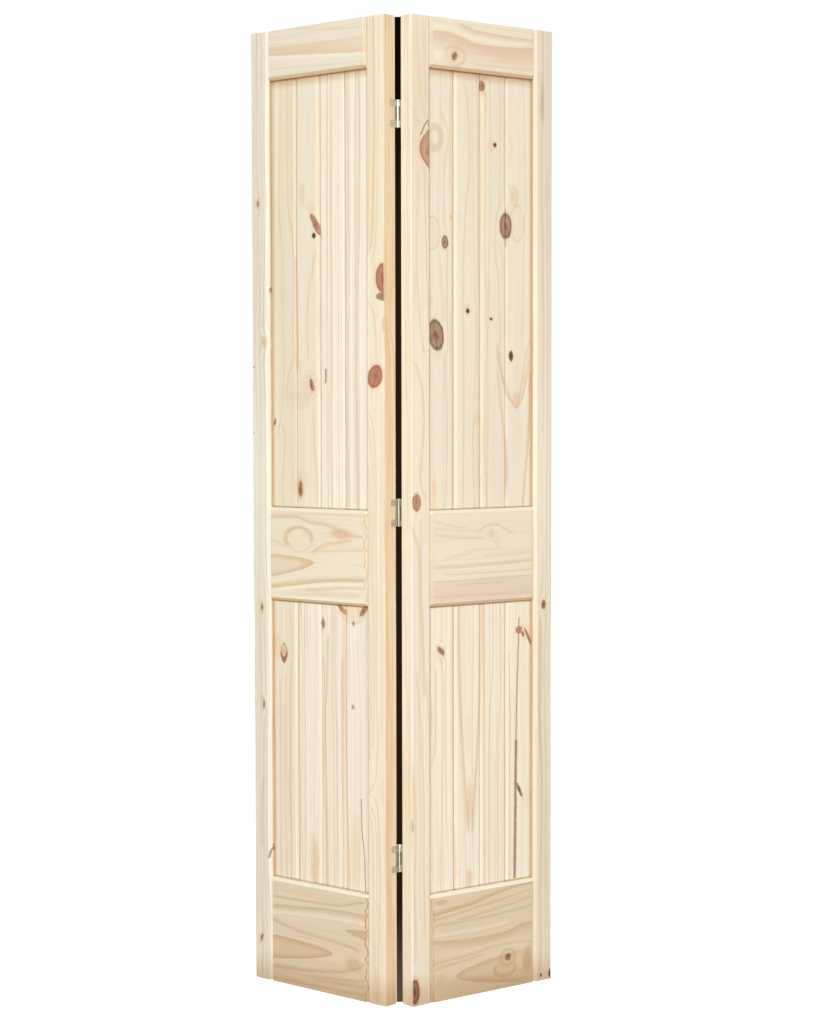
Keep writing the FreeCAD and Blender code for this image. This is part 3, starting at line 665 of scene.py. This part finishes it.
pine("rightHingeStile", {
    "pale": (243, 231, 211), "late": (224, 192, 152), "ring": 10, "centre": 20, "pith": 34, "lines": 0.4,
    "seed": 9, "edgeTone": (255, 248, 227), "veins": 0.4,
    "bands": [
        (0.3, 5, (14, 2000), (18, 1920), (24, 1860), (33, 1815)),
        (0.3, 5, (33, 2000), (34, 1920), (38, 1860), (47, 1832)), (0.5, 4, (3, 1822), (12, 1808), (22, 1794)),
        (0.45, 3, (3, 1752), (14, 1755), (22, 1762)),
        (0.45, -5, (22, 1685), (20, 1600), (18, 1540), (19, 1480), (22, 1430), (25, 1395), (31, 1360),
             (37, 1330)),
        (0.4, 4, (36, 1690), (36, 1620), (38, 1560), (40, 1500), (45, 1390)),
        (0.5, -5, (3, 1312), (14, 1308), (22, 1290), (30, 1262), (35, 1230), (36, 1190), (33, 1150),
             (29, 1110), (27, 1085), (30, 1062), (40, 1042)),
        (0.55, -9, (3, 985), (11, 965), (20, 945), (24, 925), (26, 890), (27, 850), (30, 800), (34, 720),
             (37, 640)),
        (0.4, -5, (16, 680), (22, 620), (27, 575), (29, 540), (30, 500), (32, 440), (33, 380), (32, 300),
             (34, 200), (33, 140)),
        (0.45, -7, (3, 495), (7, 475), (10, 440), (12, 380), (12, 320), (9, 260), (11, 180), (12, 130),
             (10, 95)),
        (0.4, 4, (39, 670), (43, 600), (46, 540), (46, 460)), (0.3, 3, (42, 400), (43, 200), (41, 20)),
    ],
    "knots": [
        knot("red", (50, 1742), (54, 82), 1.3, deep=30, dark=0.85, pointed=True, bend=0.3),
        knot("red", (14, 1029), (21, 34), 1.4, deep=12, split=0.4),
        knot("russet", (8, 30), (24, 52), 1.35, deep=6),
        knot("pin", (2, 372), (5, 26), 1.8, deep=9, bend=0, dark=0.7),
    ],
    "stains": [
        (0.65, (28, 1830), (90, 480), (232, 212, 182), 0.8),
        (0.5, (12, 1732), (30, 46), (238, 218, 188), 0.4), (0.5, (8, 1480), (28, 230), (238, 224, 192)),
        (0.35, (35, 1530), (26, 290), (236, 226, 212), 0.6),
        (0.5, (10, 1218), (12, 26), (250, 226, 194), 0.6),
        (0.35, (14, 1180), (36, 240), (240, 228, 200), 0.4),
        (0.35, (36, 880), (22, 260), (238, 230, 218), 0.6), (0.4, (20, 300), (22, 340), (240, 230, 216), 0.6),
        (0.4, (24, 20), (60, 130), (230, 208, 178), 0.8), (0.8, (1.6, 430), (9, 320), (226, 190, 146), 0.8),
    ],
    "cracks": [
        (0.9, 2.2, 2, (120, 98, 78), (44, 1799), (36, 1787), (26, 1768)),
        (0.8, 1.6, 2, (140, 112, 88), (44, 1799), (50, 1770)),
        (0.7, 4, 2, (120, 76, 62), (17, 1049), (7, 1047)), (0.8, 5, 2, (70, 44, 36), (16, 53), (2, 51)),
    ],
})
pine("rightTopRail", {
    "pale": (241, 230, 208), "late": (224, 190, 158), "ring": 26, "centre": 2120, "seed": 10, "lines": 0.2,
    "streaks": 0.6, "wander": 5,
    "bands": [
        (0.7, -30, (50, 1974), (90, 1980), (120, 1976), (150, 1968), (175, 1964), (225, 1963), (275, 1965),
             (325, 1968)),
        (-0.35, 9, (50, 1980), (90, 1986), (120, 1982), (150, 1974), (175, 1970), (225, 1969), (325, 1974)),
        (0.6, -10, (130, 2000), (150, 1995), (175, 1990), (225, 1987), (325, 1985)),
        (0.35, 5, (160, 1922), (230, 1920), (325, 1924)),
    ],
    "stains": [
        (0.4, (260, 1940), (190, 50), (236, 206, 178), 0.8), (0.45, (112, 1934), (52, 34), (236, 208, 178)),
        (0.7, (70, 1932), (26, 26), (252, 238, 214)),
    ],
    "loops": [(0.5, 6, (112.8, 1933), (56, 38), (-0.7, -0.2))],
    "knots": [knot("brown", (112.8, 1933), (13, 18), 1.8, tilt=30)],
})
pine("rightMiddleRail", {
    "pale": (241, 228, 206), "late": (220, 190, 152), "ring": 20, "centre": 740, "seed": 11, "streaks": 0.6,
    "wander": 4,
    "bands": [
        (0.35, 5, (50, 992), (75, 985), (100, 978), (140, 972)), (0.35, 5, (50, 973), (125, 968), (185, 964)),
        (0.4, 7, (50, 963), (100, 955), (150, 950), (190, 949)),
        (0.5, 7, (180, 965), (200, 974), (225, 975), (235, 970), (262, 958)),
        (0.3, 7, (90, 910), (150, 920), (175, 925), (240, 926)), (0.35, 8, (190, 911), (325, 915)),
        (0.6, 8, (50, 892), (250, 895), (325, 898)), (0.45, 5, (90, 880), (250, 878), (325, 880)),
        (0.6, 3, (120, 858), (235, 857)), (0.5, 5, (50, 834), (200, 833), (325, 831)),
        (0.5, -5, (50, 868), (200, 868), (325, 870)),
    ],
    "stains": [
        (0.7, (190, 844), (700, 56), (228, 204, 184), 0.4), (0.25, (222, 945), (24, 40), (226, 200, 166)),
    ],
    "knots": [knot("pale", (208, 958.9), (12, 12), 2.6, dark=0.5)],
})
pine("rightBottomRail", {
    "pale": (226, 208, 178), "late": (202, 168, 124), "ring": 30, "lean": 120, "seed": 12, "streaks": 0.6,
    "wander": 5, "scallops": 0.5,
    "bands": [
        (0.65, 9, (50, 177), (100, 182), (150, 188), (200, 198), (250, 207), (325, 213)),
        (0.45, 4, (50, 168), (100, 172), (200, 184), (310, 199)),
        (0.45, 5, (130, 162), (200, 168), (310, 182)), (0.4, 6, (50, 155), (225, 158), (325, 168)),
        (0.55, -15, (55, 128), (100, 122), (150, 119), (240, 120), (270, 125), (300, 132), (325, 130)),
        (0.4, 6, (50, 75), (100, 80), (150, 83), (250, 92), (325, 85)),
        (0.4, 6, (55, 64), (125, 72), (185, 78)), (-0.3, 9, (50, 136), (150, 133), (250, 138)),
    ],
    "stains": [
        (0.7, (77, 202), (48, 15), (208, 176, 136), 0.7), (0.4, (76, 42), (34, 38), (214, 184, 144), 0.8),
        (0.75, (308, 52), (38, 74), (204, 168, 124), 0.6), (0.4, (252, 60), (58, 54), (210, 176, 134), 0.6),
    ],
    "loops": [(0.5, 5, (247, 42), (56, 34), (0, 0.9)), (0.4, 4, (254, 64.5), (40, 34))],
    "tongues": [(0.65, (115, 45), 205, -4, 38, 0.35, 18, 1.1)],
    "knots": [knot("brown", (254, 64.5), (18, 16), 1.6)],
})
pine("rightUpperPanel", {
    "pale": (241, 231, 213), "late": (220, 190, 154), "ring": 14, "centre": 20, "pith": 40, "seed": 13,
    "lines": 0.3,
    "boards": [
        {"from": 121.5, "ring": 11, "lines": 0.4}, {"from": 194, "ring": 8, "lines": 0.5},
        {"from": 258, "centre": 285, "pith": 60, "ring": 24, "lines": 0.15},
    ],
    "bands": [
        (0.6, -6, (121, 1906), (120, 1600), (121, 1300), (119, 1011)),
        (0.45, 4, (112, 1906), (110, 1700), (113, 1640), (115, 1550), (112, 1300), (113, 1011)),
        (-0.6, 6, (125, 1906), (126, 1500), (125, 1011)),
        (0.5, 4, (145, 1880), (157, 1820), (160, 1760), (159, 1700), (150, 1640), (146, 1550), (144, 1480),
             (146, 1300), (144, 1011)),
        (0.45, 4, (86, 1830), (95, 1800), (104, 1778), (105, 1762), (97, 1730), (95, 1680), (96, 1600),
             (103, 1575)),
        (0.45, 4, (104, 1540), (102, 1480), (101, 1420), (104, 1360), (98, 1310), (100, 1200), (95, 1011)),
        (0.45, 3, (179, 1906), (181, 1500), (180, 1011)),
        (0.6, 5, (188, 1906), (189, 1500), (188, 1200), (190, 1011)),
        (-0.5, 6, (194, 1850), (195, 1450), (194, 1011)),
        (0.45, 4, (238, 1906), (240, 1760), (238, 1650), (229, 1600), (228, 1560), (236, 1500), (240, 1420),
             (242, 1330)),
        (0.4, 3, (247, 1906), (250, 1760), (252, 1650)),
        (0.4, 3, (213, 1906), (216, 1700), (212, 1500), (210, 1300), (208, 1011)),
        (0.6, 5, (235, 1350), (238, 1320), (249, 1280), (262, 1245), (275, 1232)),
        (0.6, 6, (235, 1294), (243, 1230), (252, 1170), (257, 1120), (258, 1075), (256, 1040)),
        (0.95, 8, (254, 1150), (256, 1120), (257, 1085), (256, 1060)),
        (0.5, -5, (325, 1360), (318, 1340), (307, 1290), (298, 1250), (290, 1222)),
        (0.75, -6, (326, 1290), (324, 1230), (321, 1160), (314, 1090), (306, 1011)),
        (0.4, 4, (310, 1630), (305, 1560), (304, 1480), (302, 1400), (306, 1340)),
        (0.4, 3, (304, 1906), (308, 1760), (312, 1640)),
    ],
    "stains": [
        (0.6, (282, 1660), (30, 58), (234, 206, 170), 0.4),
        (0.35, (289, 1606), (32, 72), (238, 218, 190), 0.3),
        (0.35, (67, 1576), (36, 64), (236, 216, 184), 0.4), (0.4, (60, 1435), (24, 44), (232, 208, 172), 0.6),
        (0.4, (125, 1607), (36, 38), (238, 208, 180)), (0.55, (222, 1762), (30, 32), (236, 208, 180)),
        (0.35, (157, 1419), (22, 34), (236, 204, 176)), (0.35, (218, 1404), (22, 20), (236, 208, 182)),
        (0.45, (195, 1880), (26, 50), (236, 206, 176)), (0.5, (58, 1290), (12, 80), (236, 194, 152), 0.8),
        (0.6, (287, 1238), (26, 44), (230, 196, 158), 0.6),
        (0.55, (70, 1046), (18, 110), (238, 198, 156), 0.8), (0.3, (181, 1190), (18, 26), (232, 208, 178)),
    ],
    "tongues": [(0.6, (287, 1220), 95, -8, 46, 0.05, 17, 1.5)],
    "loops": [
        (0.55, 11, (70, 1768), (36, 44), (-0.9, 0)), (0.35, 3, (289, 1606), (34, 76)),
        (0.4, 3, (66, 1576), (40, 66), (-0.9, 0)), (0.3, 2.5, (182, 1150), (24, 110), (0, -0.9)),
    ],
    "knots": [
        knot("brown", (194.5, 1881.1), (14, 21), 1.5), knot("pin", (228, 1763), (9, 9), 1.6),
        knot("grey", (257.4, 1597.8), (33, 54), 1.2, split=0.5), knot("grey", (97, 1557.8), (17, 28), 1.3),
        knot("pale", (114, 1609.3), (8, 12), 1.8, dark=0.9), knot("pin", (156.7, 1419.2), (9, 10), 1.8),
        knot("pin", (218.3, 1404.2), (7, 6), 1.8),
        knot("grey", (74.3, 1368.6), (40, 66), 1.15, split=0.7, tilt=10),
        knot("pin", (272.1, 1328.3), (11, 20), 1.4),
    ],
    "cracks": [
        (0.8, 2, 2, (150, 110, 90), (257.5, 1574), (257.5, 1555)),
        (0.8, 1.6, 2, (140, 110, 90), (258, 1634), (258, 1618)),
    ],
})
pine("rightLowerPanel", {
    "pale": (247, 238, 220), "ring": 11, "centre": 40, "pith": 30, "seed": 14, "lines": 0.4,
    "boards": [{"from": 190, "centre": -100, "ring": 9}],
    "bands": [
        (0.6, -5, (118, 816), (117, 600), (120, 450), (121, 223)),
        (0.45, 3, (85, 700), (91, 600), (89, 450), (85, 300), (84, 223)),
        (0.45, 4, (70, 680), (70, 560), (62, 500)), (-0.5, 8, (101, 816), (101, 550), (102, 223)),
        (-0.6, 6, (125, 816), (126, 500), (125, 223)),
        (0.6, -9, (135, 816), (136, 700), (140, 600), (146, 500), (153, 420), (160, 345)),
        (0.6, 9, (189, 816), (187, 700), (184, 600), (178, 500), (171, 420), (165, 345)),
        (0.55, 5, (196, 816), (198, 650), (199, 450), (199, 223)),
        (0.45, 3, (222, 816), (222, 700), (214, 560), (214, 400), (212, 223)),
        (0.4, 3, (240, 816), (243, 650), (236, 500), (237, 223)),
        (-0.6, 7, (262, 816), (262, 500), (261, 223)), (0.45, 3, (252, 816), (253, 500), (252, 223)),
        (0.45, 4, (265, 700), (267, 400), (265, 223)),
    ],
    "stains": [
        (0.6, (163, 400), (22, 130), (228, 196, 152), 0.7),
        (0.35, (162, 540), (40, 130), (236, 214, 182), 0.8),
        (0.6, (161, 240), (24, 60), (228, 190, 152), 0.6), (0.5, (61, 580), (16, 110), (238, 208, 166), 0.8),
        (0.4, (87, 717), (40, 56), (240, 210, 186), 0.6), (0.5, (312, 745), (34, 40), (236, 206, 176)),
        (0.4, (316, 395), (28, 60), (236, 210, 178)), (0.35, (128, 255), (24, 26), (234, 206, 168)),
    ],
    "knots": [
        knot("brown", (86.2, 722.4), (11, 20), 1.6, tilt=45), knot("red", (294.3, 753), (17, 15), 1.4),
        knot("brown", (305, 744), (7, 12), 1.4, tilt=20), knot("red", (319, 737), (7, 44), 1.6, tilt=28),
        knot("brown", (295, 414), (7, 34), 1.6, tilt=28),
    ],
    "cracks": [
        (0.8, 3, 2, (180, 134, 106), (294.5, 777.8), (293, 740), (288.5, 620), (286, 520)),
        (0.88, 4.8, 3, (154, 108, 80), (286, 520), (285, 440), (284, 350), (282.3, 226.6)),
    ],
})


beechLook = {"pale": (214, 176, 134), "dark": (188, 146, 104), "fibres": (300, 300, 1500), "rough": 0.6}

beech = Paint("beechDowel")
beechSpot = beech.node("Mapping", {}, {"Vector": beech.spot(), "Scale": beechLook["fibres"]})
fibre = beech.noise(beechSpot, 3, 0.6)
beech.surface({
    "Base Color": beech.mix(fibre, beechLook["dark"], beechLook["pale"]),
    "Roughness": beechLook["rough"] + fibre * 0.2})
dress(["left_dowels", "right_dowels"], beech)


zincLook = {  # lengths in metres; a barrel is as wide as its knuckle's half, and has a painted shade towards its sides
    "bright": (218, 218, 210), "dull": (178, 180, 172), "shade": (92, 96, 96), "rough": 0.3, "barrel": 0,
    "middle": 0.0002, "gleam": 0.0003, "clouds": (160, 160, 90), "scratches": (2600, 2600, 130),
}


def zinc(name, **own):
    look = {**zincLook, **own}
    paint = Paint(name)
    spot = paint.spot()
    cloud = paint.noise(paint.node("Mapping", {}, {"Vector": spot, "Scale": look["clouds"]}), 3, 0.6)
    scratch = paint.noise(paint.node("Mapping", {}, {"Vector": spot, "Scale": look["scratches"]}), 2, 0.7)
    colour = paint.mix(cloud, look["dull"], look["bright"])
    barrel, gleam = look["barrel"], look["gleam"]
    # a painted shade on the barrel's sides, for the dark of the gap they would reflect
    if barrel:
        off = paint.absolute(paint.split(spot)[0] - pinSpot[0] - look["middle"])
        side = paint.step(off, gleam, barrel * 0.85) * paint.fall(off, barrel + gleam, barrel + 2 * gleam)
        colour = paint.mix(side * 0.8, colour, look["shade"])
    paint.surface({
        "Base Color": colour, "Metallic": 1,
        "Roughness": look["rough"] + (cloud - 0.5) * 0.16 + (scratch - 0.5) * 0.14,
        "Normal": paint.node("Bump", {}, {"Strength": 0.2, "Distance": 0.0001, "Height": scratch})})
    return paint


knuckleHalf = 0.0032
hingeNodes = [n for n in frame["nodes"] if n.endswith(("_plate", "_pin"))]
dress(hingeNodes, zinc("zincPlate"))
dress([n for n in hingeNodes if n.endswith("_left_plate")], zinc("zincBarrel", barrel=knuckleHalf))
# a duller, rougher zinc, with the barrel's painted shade, for the middle hinge
dullerZinc = zinc("zincDuller", bright=(208, 206, 192), dull=(172, 172, 160), rough=0.6, barrel=knuckleHalf)
dress(["middle_hinge_left_plate", "middle_hinge_right_plate"], dullerZinc)
screwSteel = zinc("screwSteel", bright=(214, 216, 216), dull=(170, 174, 174), rough=0.34)
dress([n for n in frame["nodes"] if n.endswith("_screws")], screwSteel)
print("hinges dressed:", len(hingeNodes), "plates and pins")


room = {  # metres, watts and paint chart colours
    "floorReach": 9, "floorTone": (214, 206, 194), "floorGlow": 0.8, "ambient": 0.3,
    "gapDark": (36, 27, 18), "gapTop": (14, 9, 8), "gapFoot": (84, 74, 63),
    "gapHalf": 0.0065, "gapBehindPin": 0.007, "gapFootEnd": 0.22, "gapTopStart": 1.5, "gapTopEnd": 1.95,
    "keySpot": (-0.1, -7.5, 4.4), "keyAim": (0, 0, 1), "keySize": (3.4, 2.4), "keyPower": 308,
    "backSpot": (-0.3, 7.5, 5.2), "backAim": (0, 0, 1), "backSize": (3.4, 2.4), "backPower": 420,
    "fillSpot": (0.3, -4.9, 0.35), "fillAim": (0, 0, 0.3), "fillSize": (3, 1), "fillPower": 107,
}


def flatSheet(name, corners, paint):
    made = bmesh.new()
    made.faces.new([made.verts.new(corner) for corner in corners])
    mesh = bpy.data.meshes.new(name)
    made.to_mesh(mesh)
    made.free()
    mesh.materials.append(paint.owner)
    sheet = bpy.data.objects.new(name, mesh)
    bpy.context.scene.collection.objects.link(sheet)


# the floor looks white to the camera and keeps the door's shadow
paint = Paint("paleFloor")
seen = paint.node("LightPath", {}, {}, "Is Camera Ray")
plain = paint.node("BsdfDiffuse", {}, {"Color": tone(room["floorTone"])})
glow = paint.node("Emission", {}, {"Color": (1, 1, 1, 1), "Strength": room["floorGlow"]})
lit = paint.node("AddShader", {}, {0: plain, 1: glow})
paint.show(paint.node("MixShader", {}, {0: seen, 1: plain, 2: lit}))
reach = room["floorReach"]
flatSheet("floor", [(-reach, -reach, 0), (reach, -reach, 0), (reach, reach, 0), (-reach, reach, 0)], paint)

# a dark card behind the pins, seen from the front only, is a painted shade in the gap between the leaves,
# palest at its foot and darkest at its top
paint = Paint("darkGap")
height = paint.split(paint.spot())[2]
dark = paint.mix(paint.step(height, 0, room["gapFootEnd"]), room["gapFoot"], room["gapDark"])
dark = paint.mix(paint.step(height, room["gapTopStart"], room["gapTopEnd"]), dark, room["gapTop"])
behind = paint.node("NewGeometry", {}, {}, "Backfacing")
shown = paint.node("LightPath", {}, {}, "Is Camera Ray") * (1 - behind)
card = paint.node("Emission", {}, {"Color": dark})
paint.show(paint.node("MixShader", {}, {0: shown, 1: paint.node("BsdfTransparent", {}, {}), 2: card}))
half, back, top = room["gapHalf"], pinSpot[1] + room["gapBehindPin"], cadBox[1][2]
flatSheet("gapCard", [(-half, back, 0), (half, back, 0), (half, back, top), (-half, back, top)], paint)

# a world that the camera and reflections see white, and that lights the door a little
world = bpy.data.worlds.new("studio")
bpy.context.scene.world = world
sky = Paint("studio", world)
rays = sky.node("LightPath", {}, {}, "Is Camera Ray")
direct = sky.math("MAXIMUM", rays, rays.out("Is Glossy Ray"))
level = sky.node("MapRange", {}, {"Value": direct, "To Min": room["ambient"]})
sky.show(sky.node("Background", {}, {"Color": (1, 1, 1, 1), "Strength": level}), "World")


def lamp(name, spot, target, size, power):
    light = bpy.data.lights.new(name, "AREA")
    light.shape = "RECTANGLE"
    light.size, light.size_y = size
    light.energy = power
    made = bpy.data.objects.new(name, light)
    made.location = spot
    # a lamp shines along its own -Z
    made.rotation_euler = (Vector(target) - Vector(spot)).to_track_quat("-Z", "Y").to_euler()
    bpy.context.scene.collection.objects.link(made)


for name in ("key", "fill", "back"):
    lamp(name, *(room[name + part] for part in ("Spot", "Aim", "Size", "Power")))

view = {  # metres, degrees and millimetres
    "spot": (0.16410, -4.55752, 1.22505), "turn": (87.2318, 0.1059, 1.8202), "lens": 77.2925, "sensor": 36,
}
eye = bpy.data.cameras.new("camera")
eye.lens = view["lens"]
eye.sensor_width = view["sensor"]
camera = bpy.data.objects.new("camera", eye)
camera.location = view["spot"]
camera.rotation_euler = [math.radians(angle) for angle in view["turn"]]
bpy.context.scene.collection.objects.link(camera)
bpy.context.scene.camera = camera
bpy.context.scene.view_settings.view_transform = "Standard"
print("room, lamps and camera placed")
